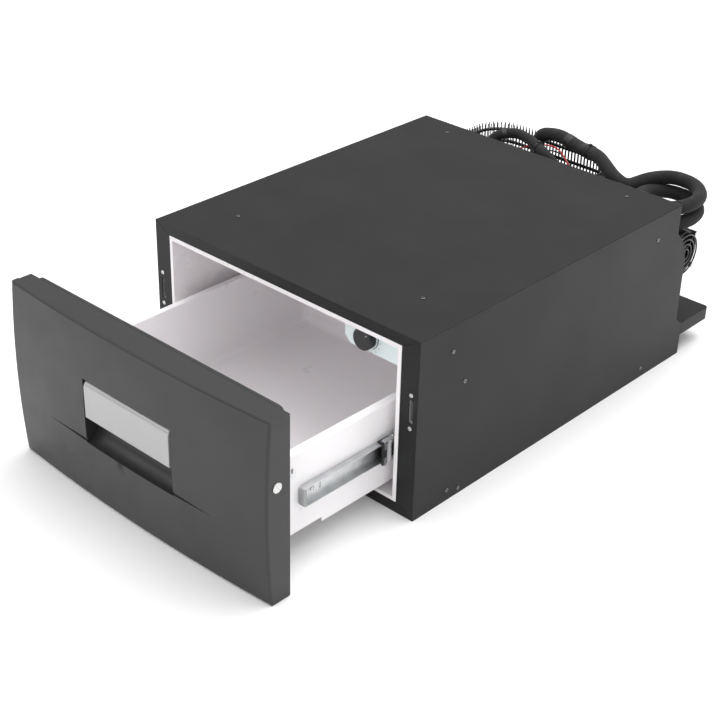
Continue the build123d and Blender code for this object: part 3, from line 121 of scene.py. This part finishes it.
# ---- finishes ------------------------------------------------------------------------------------
class Finish:
    """A Principled material built up in layers: tone, then gloss variation, then relief."""

    def __init__(self, name, colour, rough, metal=0.0, **constants):
        self.material = bpy.data.materials.new(name)
        self.material.use_nodes = True
        self.tree = self.material.node_tree
        self.shader = self.tree.nodes["Principled BSDF"]
        self.place = self.tree.nodes.new("ShaderNodeTexCoord").outputs["Object"]
        self.colour = tuple(colour) + (1.0,)
        self.colour_socket = None
        self.rough = rough
        self.normal = None
        self.shader.inputs["Base Color"].default_value = self.colour
        self.shader.inputs["Roughness"].default_value = rough
        self.shader.inputs["Metallic"].default_value = metal
        for key, value in constants.items():
            self.shader.inputs[key.replace("_", " ")].default_value = value

    def feed(self, socket, value):
        """Link a socket to another node's result, or set it to a constant."""
        if isinstance(value, bpy.types.NodeSocket):
            self.tree.links.new(value, socket)
        else:
            socket.default_value = value

    def node(self, kind, **inputs):
        made = self.tree.nodes.new(kind)
        for key, value in inputs.items():
            self.feed(made.inputs[key.replace("_", " ")], value)
        return made

    def stretched(self, stretch):
        mapping = self.node("ShaderNodeMapping", Vector=self.place)
        mapping.inputs["Scale"].default_value = stretch
        return mapping.outputs["Vector"]

    def noise(self, scale, detail=3.0, blur=0.55, stretch=(1, 1, 1)):
        where = self.place if tuple(stretch) == (1, 1, 1) else self.stretched(stretch)
        made = self.node("ShaderNodeTexNoise", Vector=where, Scale=scale, Detail=detail, Roughness=blur)
        return made.outputs["Fac"]

    def cells(self, scale):
        return self.node("ShaderNodeTexVoronoi", Vector=self.place, Scale=scale).outputs["Distance"]

    def spread(self, value, low, high, to_low=0.0, to_high=1.0):
        made = self.node("ShaderNodeMapRange", Value=value, From_Min=low, From_Max=high,
                         To_Min=to_low, To_Max=to_high)
        return made.outputs["Result"]

    def times(self, a, b):
        made = self.tree.nodes.new("ShaderNodeMath")
        made.operation = "MULTIPLY"
        for socket, value in zip(made.inputs, (a, b)):
            self.feed(socket, value)
        return made.outputs[0]

    def mixed(self, factor, first, second):
        made = self.tree.nodes.new("ShaderNodeMix")
        made.data_type = "RGBA"
        for index, value in ((0, factor), (6, first), (7, second)):
            self.feed(made.inputs[index], value)
        return made.outputs[2]

    def tint(self, factor, colour):
        """Lay another colour over the surface where the factor is high."""
        below = self.colour_socket or self.colour
        self.colour_socket = self.mixed(factor, below, tuple(colour) + (1.0,))
        self.tree.links.new(self.colour_socket, self.shader.inputs["Base Color"])

    def tone(self, scale, amount, stretch=(1, 1, 1), detail=3.0):
        """Lighter and darker clouds of the base colour."""
        cloud = self.noise(scale, detail, stretch=stretch)
        darker = tuple(c * (1 - amount) for c in self.colour[:3])
        lighter = tuple(min(1.0, c * (1 + amount)) for c in self.colour[:3])
        self.tint(self.spread(cloud, 0.25, 0.5, 0.8, 0.0), darker)
        self.tint(self.spread(cloud, 0.5, 0.75, 0.0, 0.8), lighter)

    def gloss(self, scale, amount, stretch=(1, 1, 1), detail=4.0):
        """Roughness that wanders up and down by the amount."""
        cloud = self.noise(scale, detail, stretch=stretch)
        value = self.spread(cloud, 0.3, 0.7, self.rough - amount, self.rough + amount)
        self.tree.links.new(value, self.shader.inputs["Roughness"])

    def relief(self, height, strength, depth):
        """Bump from a height, depth in metres."""
        made = self.node("ShaderNodeBump", Height=height, Strength=strength, Distance=depth)
        if self.normal is not None:
            self.tree.links.new(self.normal, made.inputs["Normal"])
        self.normal = made.outputs["Normal"]
        self.tree.links.new(self.normal, self.shader.inputs["Normal"])

    def upward(self, low=0.35, high=0.95):
        """A factor that is 1 on faces that look up."""
        normal = self.tree.nodes.new("ShaderNodeNewGeometry").outputs["Normal"]
        parts = self.node("ShaderNodeSeparateXYZ", Vector=normal)
        return self.spread(parts.outputs["Z"], low, high)

    def dust(self, amount, colour=(0.42, 0.4, 0.37)):
        """A thin dust film on upward faces, broken into clouds."""
        cloud = self.spread(self.noise(14.0, 6.0, 0.62), 0.42, 0.72, 0.0, amount)
        self.tint(self.times(self.upward(), cloud), colour)


def powder_coat(name, colour, rough=0.42):
    """Powder-coated sheet: a fine orange-peel skin, slight gloss changes and a trace of dust."""
    made = Finish(name, colour, rough, Specular_IOR_Level=0.22)
    made.tone(5.0, 0.06)
    made.gloss(9.0, 0.04)
    made.relief(made.noise(900.0, 2.0), 0.20, 0.0004)
    made.relief(made.noise(2600.0, 1.0), 0.12, 0.0002)
    made.dust(0.008)
    return made.material


def moulded(name, colour, rough=0.45, grain=1400.0, depth=0.18, level=0.5):
    """Injection-moulded plastic with a fine spark-eroded texture."""
    made = Finish(name, colour, rough, Specular_IOR_Level=level)
    made.tone(7.0, 0.05)
    made.gloss(30.0, 0.05)
    made.relief(made.cells(grain), depth, 0.0002)
    made.relief(made.noise(12.0, 2.0), 0.06, 0.002)
    return made.material


def white_skin(name, colour, rough=0.28):
    """Soft white plastic of the tub and the liner: slight sink waves and faint handling marks."""
    made = Finish(name, colour, rough, Subsurface_Weight=0.06, Subsurface_Scale=0.004)
    made.tone(4.0, 0.02)
    made.gloss(22.0, 0.03)
    made.relief(made.noise(9.0, 2.0), 0.05, 0.003)
    made.relief(made.noise(1700.0, 1.0), 0.05, 0.0001)
    scuff = made.spread(made.noise(60.0, 8.0, 0.7, (1, 6, 1)), 0.70, 0.80, 0.0, 0.02)
    made.tint(scuff, (0.70, 0.69, 0.70))
    return made.material


def rolled_zinc(name, colour, rough=0.34, along=(60, 1, 60)):
    """Zinc-plated strip: rolling lines along its length and a soft spangle."""
    made = Finish(name, colour, rough, 1.0)
    made.tone(55.0, 0.16)
    line = made.noise(22.0, 6.0, 0.7, along)
    made.tint(made.spread(line, 0.35, 0.75, 0.0, 0.45), tuple(c * 0.62 for c in colour))
    made.gloss(40.0, 0.10, along)
    made.relief(line, 0.16, 0.0003)
    made.relief(made.cells(70.0), 0.04, 0.0004)
    return made.material


def foam_rubber(name, colour):
    """Closed-cell foam sleeve: a pitted skin that stays matt, a little paler where it faces up."""
    made = Finish(name, colour, 0.82, Sheen_Weight=0.08, Sheen_Roughness=0.5, Specular_IOR_Level=0.3)
    made.tone(40.0, 0.30)
    pits = made.spread(made.cells(900.0), 0.0, 0.55)
    made.relief(pits, 0.55, 0.0007)
    made.relief(made.noise(120.0, 4.0), 0.35, 0.0016)
    made.tint(made.times(made.upward(0.1, 0.9), made.spread(made.noise(90.0, 5.0), 0.5, 0.8, 0.0, 0.30)),
              (0.07, 0.07, 0.07))
    return made.material


def rigid_foam(name, colour):
    """Yellowish polyurethane foam with fine bubbles."""
    made = Finish(name, colour, 0.9)
    made.tone(30.0, 0.12)
    made.relief(made.cells(600.0), 0.6, 0.001)
    return made.material


def enamel(name, colour, rough=0.3):
    """Dipped black enamel with soft runs."""
    made = Finish(name, colour, rough, Coat_Weight=0.3, Coat_Roughness=0.15)
    made.tone(18.0, 0.15)
    made.gloss(60.0, 0.10)
    made.relief(made.noise(160.0, 3.0), 0.15, 0.0008)
    made.dust(0.10)
    return made.material


def copper(name):
    """Drawn copper with dull brown patches."""
    made = Finish(name, (0.71, 0.36, 0.21), 0.3, 1.0)
    made.tone(60.0, 0.18)
    made.gloss(80.0, 0.12)
    made.tint(made.spread(made.noise(50.0, 6.0, 0.7), 0.55, 0.75, 0.0, 0.6), (0.22, 0.12, 0.08))
    made.relief(made.noise(700.0, 2.0), 0.1, 0.0002)
    return made.material


def bright_screw(name, colour=(0.62, 0.62, 0.61)):
    """A small plated part: fine scratches and an uneven gloss."""
    made = Finish(name, colour, 0.26, 1.0)
    made.tone(300.0, 0.12)
    made.gloss(500.0, 0.10)
    made.relief(made.noise(1500.0, 3.0), 0.12, 0.0002)
    return made.material


def silver_lacquer(name):
    """Silver-grey lacquer with fine metal flake under a satin clear coat."""
    made = Finish(name, (0.42, 0.425, 0.42), 0.36, 0.35, Coat_Weight=0.35, Coat_Roughness=0.22)
    made.tone(2500.0, 0.10)
    made.gloss(15.0, 0.05)
    made.relief(made.noise(1800.0, 2.0), 0.10, 0.0002)
    return made.material


def rubber_skin(name, colour, rough=0.62):
    """Matt rubber with a trace of dust."""
    made = Finish(name, colour, rough, Sheen_Weight=0.1)
    made.tone(25.0, 0.12)
    made.gloss(50.0, 0.08)
    made.relief(made.noise(600.0, 3.0), 0.2, 0.0003)
    made.dust(0.08)
    return made.material


def lead_skin(name, colour):
    """The smooth insulation of a lead."""
    made = Finish(name, colour, 0.35)
    made.tone(90.0, 0.10)
    made.gloss(150.0, 0.06)
    made.relief(made.noise(900.0, 2.0), 0.08, 0.0002)
    return made.material


def vinyl_tape(name):
    """Black wrapping tape: stretched and slightly glossy."""
    made = Finish(name, (0.018, 0.018, 0.019), 0.38)
    made.tone(60.0, 0.2)
    made.gloss(120.0, 0.12)
    made.relief(made.noise(300.0, 4.0, 0.6, (1, 1, 3)), 0.35, 0.0008)
    return made.material


def printed(name, colour):
    """Ink or filling on a plastic face."""
    made = Finish(name, colour, 0.5)
    made.tone(300.0, 0.05)
    made.relief(made.noise(2500.0, 1.0), 0.05, 0.0001)
    return made.material


def every_finish():
    """All finishes of the fridge by the name of the record's slot, plus those of the small pieces."""
    return {
        "cabinet_paint": powder_coat("cabinet_paint", (0.0135, 0.0135, 0.0137)),
        "front_grey": moulded("front_grey", (0.026, 0.0262, 0.0255), 0.38, 1500.0, 0.22, level=0.42),
        "zinc_sheet": rolled_zinc("zinc_sheet", (0.52, 0.53, 0.54), 0.36, (1, 40, 40)),
        "strike_zinc": rolled_zinc("strike_zinc", (0.86, 0.86, 0.87), 0.5, (40, 40, 1)),
        "slide_steel": rolled_zinc("slide_steel", (0.66, 0.67, 0.68)),
        "liner_white": white_skin("liner_white", (0.93, 0.895, 0.91)),
        "tub_white": white_skin("tub_white", (0.93, 0.905, 0.92), 0.3),
        "foam": rigid_foam("foam", (0.80, 0.72, 0.48)),
        "black_screw": bright_screw("black_screw", (0.20, 0.20, 0.20)),
        "bright_steel": bright_screw("bright_steel"),
        "black_plastic": moulded("black_plastic", (0.014, 0.014, 0.015), 0.42),
        "plate_aluminium": rolled_zinc("plate_aluminium", (0.74, 0.75, 0.76), 0.4, (1, 30, 30)),
        "pale_plastic": moulded("pale_plastic", (0.80, 0.90, 0.90), 0.38, 1800.0, 0.10),
        "switch_grey": moulded("switch_grey", (0.20, 0.21, 0.22)),
        "copper": copper("copper"),
        "black_enamel": enamel("black_enamel", (0.012, 0.012, 0.013)),
        "foot_rubber": rubber_skin("foot_rubber", (0.02, 0.02, 0.02)),
        "brass_terminal": bright_screw("brass_terminal", (0.70, 0.52, 0.22)),
        "hose_foam": foam_rubber("hose_foam", (0.013, 0.013, 0.0135)),
        "lead_red": lead_skin("lead_red", (0.42, 0.015, 0.012)),
        "lead_black": lead_skin("lead_black", (0.015, 0.015, 0.016)),
        "gasket_rubber": rubber_skin("gasket_rubber", (0.045, 0.046, 0.048)),
        "handle_silver": silver_lacquer("handle_silver"),
        "bumper": moulded("bumper", (0.34, 0.35, 0.35), 0.5),
    }


# ---- shapes --------------------------------------------------------------------------------------
def surface(name, points, finish, body, closed_u=False, closed_v=False, ends=False):
    """A piece from a grid of points (u, v, 3). Neighbouring points make quads; a closed direction joins its
    last row to its first, and ends fills the first and last rows with one face each."""
    rows, columns = points.shape[:2]
    u = np.arange(rows if closed_u else rows - 1)
    v = np.arange(columns if closed_v else columns - 1)
    first, second = np.meshgrid(u, v, indexing="ij")
    next_row, next_column = (first + 1) % rows, (second + 1) % columns
    quads = np.stack([first * columns + second, next_row * columns + second,
                      next_row * columns + next_column, first * columns + next_column], -1).reshape(-1, 4)
    faces = quads.tolist()
    if ends:
        faces.append(list(range(columns)))
        faces.append([(rows - 1) * columns + i for i in reversed(range(columns))])
    mesh = bpy.data.meshes.new(name)
    mesh.from_pydata(points.reshape(-1, 3).tolist(), [], faces)
    mesh.update()
    mesh.polygons.foreach_set("use_smooth", np.ones(len(mesh.polygons), bool))
    face_outwards(mesh)
    mesh.set_sharp_from_angle(angle=math.radians(40))
    piece = bpy.data.objects.new(name, mesh)
    bpy.context.scene.collection.objects.link(piece)
    mesh.materials.append(finish)
    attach(piece, body)
    return piece


def face_outwards(mesh):
    """Recalculate normals so that a closed shape faces out."""
    work = bmesh.new()
    work.from_mesh(mesh)
    bmesh.ops.remove_doubles(work, verts=work.verts, dist=1e-7)
    bmesh.ops.recalc_face_normals(work, faces=work.faces)
    work.to_mesh(mesh)
    work.free()


def curve_points(corners, count):
    """A smooth line: a cubic B-spline near its corners, with its ends held.
    Each point is the usual four-corner blend (1-t)^3/6, (3t^3-6t^2+4)/6, (-3t^3+3t^2+3t+1)/6, t^3/6."""
    corners = np.asarray(corners, float)
    held = np.concatenate([2 * corners[:1] - corners[1:2], corners, 2 * corners[-1:] - corners[-2:-1]])
    spans = len(held) - 3
    at = np.linspace(0, spans - 1e-9, count)
    i, t = at.astype(int), (at % 1)[:, None]
    blend = ((1 - t) ** 3 / 6, (3 * t ** 3 - 6 * t ** 2 + 4) / 6,
             (-3 * t ** 3 + 3 * t ** 2 + 3 * t + 1) / 6, t ** 3 / 6)
    return sum(b * held[i + k] for k, b in enumerate(blend))


def carried(path, profile, up=(0, 0, 1), closed=False):
    """A flat profile (n, 2) carried along a path (m, 3): its first axis points sideways, its second upwards.
    Sideways is the tangent crossed with up; upwards is sideways crossed with the tangent."""
    path = np.asarray(path, float)
    along = np.roll(path, -1, 0) - np.roll(path, 1, 0) if closed else np.gradient(path, axis=0)
    along /= np.linalg.norm(along, axis=1, keepdims=True)
    side = np.cross(along, np.asarray(up, float))
    side /= np.maximum(np.linalg.norm(side, axis=1, keepdims=True), 1e-9)
    top = np.cross(side, along)
    profile = np.asarray(profile, float)
    return path[:, None, :] + profile[None, :, :1] * side[:, None, :] + profile[None, :, 1:] * top[:, None, :]


def circle(radius, count, start=0.0):
    """Points round a circle: radius times (cos a, sin a)."""
    angle = start + np.linspace(0, 2 * np.pi, count, endpoint=False)
    return radius * np.stack([np.cos(angle), np.sin(angle)], 1)


def turned(name, centre, axis, along, radii, finish, body, count=48):
    """A turned piece: at each distance along an axis, a circle of the given radius."""
    axis = np.asarray(axis, float) / np.linalg.norm(axis)
    helper = np.array([0, 0, 1.0]) if abs(axis[2]) < 0.9 else np.array([1.0, 0, 0])
    side = np.cross(axis, helper)
    side /= np.linalg.norm(side)
    top = np.cross(side, axis)
    ringed = circle(1.0, count)
    along, radii = np.asarray(along, float), np.asarray(radii, float)
    points = (np.asarray(centre, float) + along[:, None, None] * axis
              + radii[:, None, None] * (ringed[None, :, :1] * side + ringed[None, :, 1:] * top))
    return surface(name, points, finish, body, closed_v=True, ends=True)


# ---- small pieces --------------------------------------------------------------------------------
def hose_tape(finishes):
    """Turns of tape round the hoses where two lengths of sleeve meet: a barrel that stands about 0.4 mm
    proud, radius = hose - 0.08 + edge (0.45 + 0.12 sin 2.1 x), where edge fades to 0 at both ends."""
    places = (
        ("tape_loom", (-106.0, 557.0, 230.0), (28.0, 18.0, 8.0), 7, THIN_HOSE),
        ("tape_suction_a", (-20.5, 599.0, 231.0), (47.0, -10.0, -4.0), 12, THICK_HOSE),
        ("tape_suction_b", (12.8, 590.5, 230.0), (39.0, -14.0, 4.0), 7, THICK_HOSE),
    )
    for name, centre, way, width, hose in places:
        along = np.linspace(-width / 2, width / 2, 25)
        edge = np.clip((width / 2 - abs(along)) / 0.6, 0, 1)
        radius = hose - 0.08 + edge * (0.45 + 0.12 * np.sin(along * 2.1))
        middle = np.array(centre) + np.array([0, FRONT_Y, 0])
        turned(name, middle * MM, way, along * MM, radius * MM, finishes["tape"], "cabinet")


def port_collars(finishes):
    """Rubber grommets where the hoses enter the rear panel: a bell that narrows onto the hose."""
    collars = (("collar_left", -120.0, 200.0, THIN_HOSE), ("collar_right", 100.0, 168.0, THICK_HOSE))
    for name, x, z, hose in collars:
        along = np.array([0.0, 0.4, 2.2, 3.2, 3.6, 3.6])
        radii = hose + np.array([5.5, 5.9, 5.5, 3.1, 0.9, 0.1])
        centre = np.array([x * MM, CABINET_FRONT + PANEL_Y * MM, z * MM])
        turned(name, centre, (0, 1, 0), along * MM, radii * MM, finishes["foot_rubber"], "cabinet")


def dial_marks(finishes):
    """The thermostat's scale: a band round the knob that widens from cold to colder, and short ticks.
    The band runs from radius 15.6 to 16.2 + 2.0 t over an arc, t from 0 to 1."""
    centre = np.array(KNOB_CENTRE)
    face = FRONT_Y + THERMOSTAT_FACE - 0.06
    t = np.linspace(0, 1, 49)
    angle = np.radians(-58 + 128 * t)
    inner, outer = 15.6 + 0 * t, 16.2 + 2.0 * t
    rim = np.stack([inner, outer], 1)
    x = centre[0] + rim * np.cos(angle)[:, None]
    z = centre[1] + rim * np.sin(angle)[:, None]
    points = np.stack([x, np.full_like(x, face), z], -1) * MM
    surface("dial_band", points, finishes["print_dark"], "cabinet")
    for i, degrees in enumerate(np.linspace(-70, 84, 8)):
        a = math.radians(degrees)
        out, across = np.array([math.cos(a), math.sin(a)]), np.array([-math.sin(a), math.cos(a)])
        ends = centre + np.array([19.2, 21.0])[:, None] * out
        corners = np.stack([ends - 0.35 * across, ends + 0.35 * across], 1)
        points = np.stack([corners[..., 0], np.full((2, 2), face), corners[..., 1]], -1) * MM
        surface(f"dial_tick_{i}", points, finishes["print_dark"], "cabinet")


def knob_line(finishes):
    """The white line let into the knob's face: a bar with a rounded top, in the knob's groove."""
    a = math.radians(45)
    out, across = np.array([math.cos(a), math.sin(a)]), np.array([-math.sin(a), math.cos(a)])
    centre = np.array(KNOB_CENTRE)
    run = np.linspace(7.0, 11.8, 9)[:, None]
    middle = centre + run * out
    front = FRONT_Y + KNOB_FACE
    lift = np.array([0.5, 0.15, 0.0, -0.05, 0.0, 0.15, 0.5])
    wide = np.linspace(-0.68, 0.68, 7)
    x = middle[:, :1] + wide[None, :] * across[0]
    z = middle[:, 1:] + wide[None, :] * across[1]
    y = np.broadcast_to(front + lift, x.shape)
    points = np.stack([x, y, z], -1) * MM
    surface("knob_line", points, finishes["print_white"], "thermostat_knob")


def seal(finishes):
    """The drawer's gasket: a profile with a base, a bellows fold and a magnet bulge, carried round a
    rectangle with rounded corners."""
    half_x, low, high, corner = 199.2, 10.55, 227.85, 4.0
    bend = np.linspace(0, np.pi / 2, 7)
    centres = ((half_x - corner, high - corner, 0), (-half_x + corner, high - corner, 1),
               (-half_x + corner, low + corner, 2), (half_x - corner, low + corner, 3))
    arcs = []
    for centre_x, centre_z, quarter in centres:
        angle = bend + quarter * np.pi / 2
        x, z = centre_x + corner * np.cos(angle), centre_z + corner * np.sin(angle)
        arcs.append(np.stack([x, np.zeros_like(x), z], 1))
    outline = np.array([(-3.2, 0.05), (-4.6, 0.4), (-4.7, 1.2), (-3.5, 1.7), (-3.4, 2.1), (-4.5, 2.5),
                        (-4.7, 3.4), (-4.2, 4.3), (-2.6, 4.55), (-0.4, 4.5), (1.8, 4.55), (3.6, 4.3),
                        (4.3, 3.4), (4.0, 2.5), (3.0, 2.1), (3.1, 1.7), (4.3, 1.2), (4.2, 0.4), (3.0, 0.05)])
    path = np.concatenate(arcs) * MM + np.array([0, DRAWER_BACK, 0])
    points = carried(path, outline * MM, up=(0, 1, 0), closed=True)
    piece = surface("drawer_seal", points, finishes["gasket_rubber"], "drawer",
                    closed_u=True, closed_v=True)
    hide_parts("gasket")


def module_leads(finishes):
    """The leads that climb from the power module, pass between the two hoses and go into the rear
    panel beside the thin hose; each is a thin tube along a smooth line."""
    radius = 1.1                  # mm
    red = [(-104, 511.4, 196), (-103, 530, 196), (-98, 548, 206), (-72, 574, 218), (-38, 577, 228),
           (-14, 572, 226), (6, 565, 205), (40, 565, 190), (68, 566, 160), (76, 572, 93)]
    black = [(-100, 511.4, 193), (-99, 530, 192), (-92, 552, 200), (-66, 580, 210), (-34, 583, 219),
             (-10, 577, 217), (10, 570, 198), (44, 570, 184), (72, 570, 150), (80, 572, 93)]
    leads = (("module_lead_red", red, "lead_red"), ("module_lead_black", black, "lead_black"))
    for name, corners, finish in leads:
        path = curve_points(corners, 120) * MM + np.array([0, CABINET_FRONT, 0])
        points = carried(path, circle(radius * MM, 10))
        surface(name, points, finishes[finish], "cabinet", closed_v=True, ends=True)


def rail_beads(finishes):
    """The rolled bead along each drawer rail: a shallow strip whose height across is 0.85 (1 - u^2) and
    tapers at its ends."""
    for side, name in ((1, "rail_bead_right"), (-1, "rail_bead_left")):
        y = np.linspace(DRAWER_BACK / MM + 84, DRAWER_BACK / MM + 386, 80)
        swell = np.clip((151 - abs(y - y.mean())) / 12, 0, 1) ** 0.5
        across = np.linspace(-1, 1, 11)
        height = 0.85 * swell[:, None] * (1 - across[None, :] ** 2) - 0.04
        x = side * (176.42 + height)
        z = 91.5 + 1.9 * across[None, :] + 0 * height
        points = np.stack([x, np.broadcast_to(y[:, None], x.shape), z], -1) * MM
        surface(name, points, finishes["slide_steel"], "drawer")


def bare_edge_highlights(finishes):
    """The cut rear edge of the steel cover, where the paint is thin and the metal shows. It is drawn as a
    bright steel line that is partly that bare edge and partly a painted highlight along the rim: narrow
    flattened bars whose half width swells and fades, 0.35 + 0.15 sin 19 t."""
    # bright steel strips on the top and side of the rear rim: partly bare metal edge, partly a painted
    # highlight
    runs = (("bare_edge_highlight_top", (112.0, 514.0, 238.0), (219.0, 514.0, 238.0), (0, 0.7, 0.7)),
            ("bare_edge_highlight_side", (219.3, 514.0, 237.0), (219.3, 514.0, 199.0), (0.7, 0.7, 0)))
    for name, start, stop, out in runs:
        start, stop = np.array(start), np.array(stop)
        t = np.linspace(0, 1, 90)[:, None]
        line = start + (stop - start) * t + np.array([0, FRONT_Y, 0])
        wide = (0.35 + 0.15 * np.sin(t * 19)) * np.clip(t * 8, 0.1, 1)
        ringed = circle(1.0, 8)
        way = (stop - start) / np.linalg.norm(stop - start)
        side = np.cross(way, out)
        side = side / np.linalg.norm(side)
        up = np.array(out) / np.linalg.norm(out)
        section = ringed[None, :, :1] * side + 0.5 * ringed[None, :, 1:] * up
        points = (line[:, None, :] + wide[:, :, None] * section) * MM
        surface(name, points, finishes["bright_steel"], "cabinet", closed_v=True, ends=True)


def tie_heads(finishes):
    """The heads of the hose ties: small rounded boxes, each a sphere with its sines and cosines raised to
    a power below one."""
    ties = (("tie_loom", (-41.0, 550.5, 230.0), (42.0, -19.0, -4.0), 8.4),
            ("tie_suction", (22.5, 587.0, 231.0), (39.0, -14.0, 4.0), 10.6))
    for name, centre, way, reach in ties:
        way = np.array(way) / np.linalg.norm(way)
        side = np.cross(way, (0, 0, 1.0))
        side /= np.linalg.norm(side)
        top = np.cross(side, way)
        base = np.array(centre) + np.array([0, FRONT_Y, 0]) + reach * top
        u, v = np.meshgrid(np.linspace(0, np.pi, 13), np.linspace(0, 2 * np.pi, 24, endpoint=False),
                           indexing="ij")
        power = 0.45
        cu, su = np.sign(np.cos(u)) * abs(np.cos(u)) ** power, abs(np.sin(u)) ** power
        cv, sv = np.sign(np.cos(v)) * abs(np.cos(v)) ** power, np.sign(np.sin(v)) * abs(np.sin(v)) ** power
        box = (2.6 * su * cv)[..., None] * way + (2.4 * su * sv)[..., None] * side + (1.9 * cu)[..., None] * top
        surface(name + "_head", (base + box) * MM, finishes["black_plastic"], "cabinet",
                closed_v=True)


def main():
    finishes = every_finish()
    finishes["tape"] = vinyl_tape("vinyl_tape")
    finishes["print_dark"] = printed("print_dark", (0.03, 0.03, 0.035))
    finishes["print_white"] = printed("print_white", (0.85, 0.85, 0.85))
    slots = {part["node"]: part["material_slot"] for part in frame["record"]["subparts"]}
    own = {"rail_bumpers": "bumper", "strike_plates": "strike_zinc"}
    for name, node in NODES.items():
        node.data.materials.clear()
        node.data.materials.append(finishes[own.get(name, slots[name])])
    hose_tape(finishes)
    port_collars(finishes)
    dial_marks(finishes)
    knob_line(finishes)
    seal(finishes)
    module_leads(finishes)
    bare_edge_highlights(finishes)
    rail_beads(finishes)
    tie_heads(finishes)


set_camera()
set_studio()
studio_floor()
main()
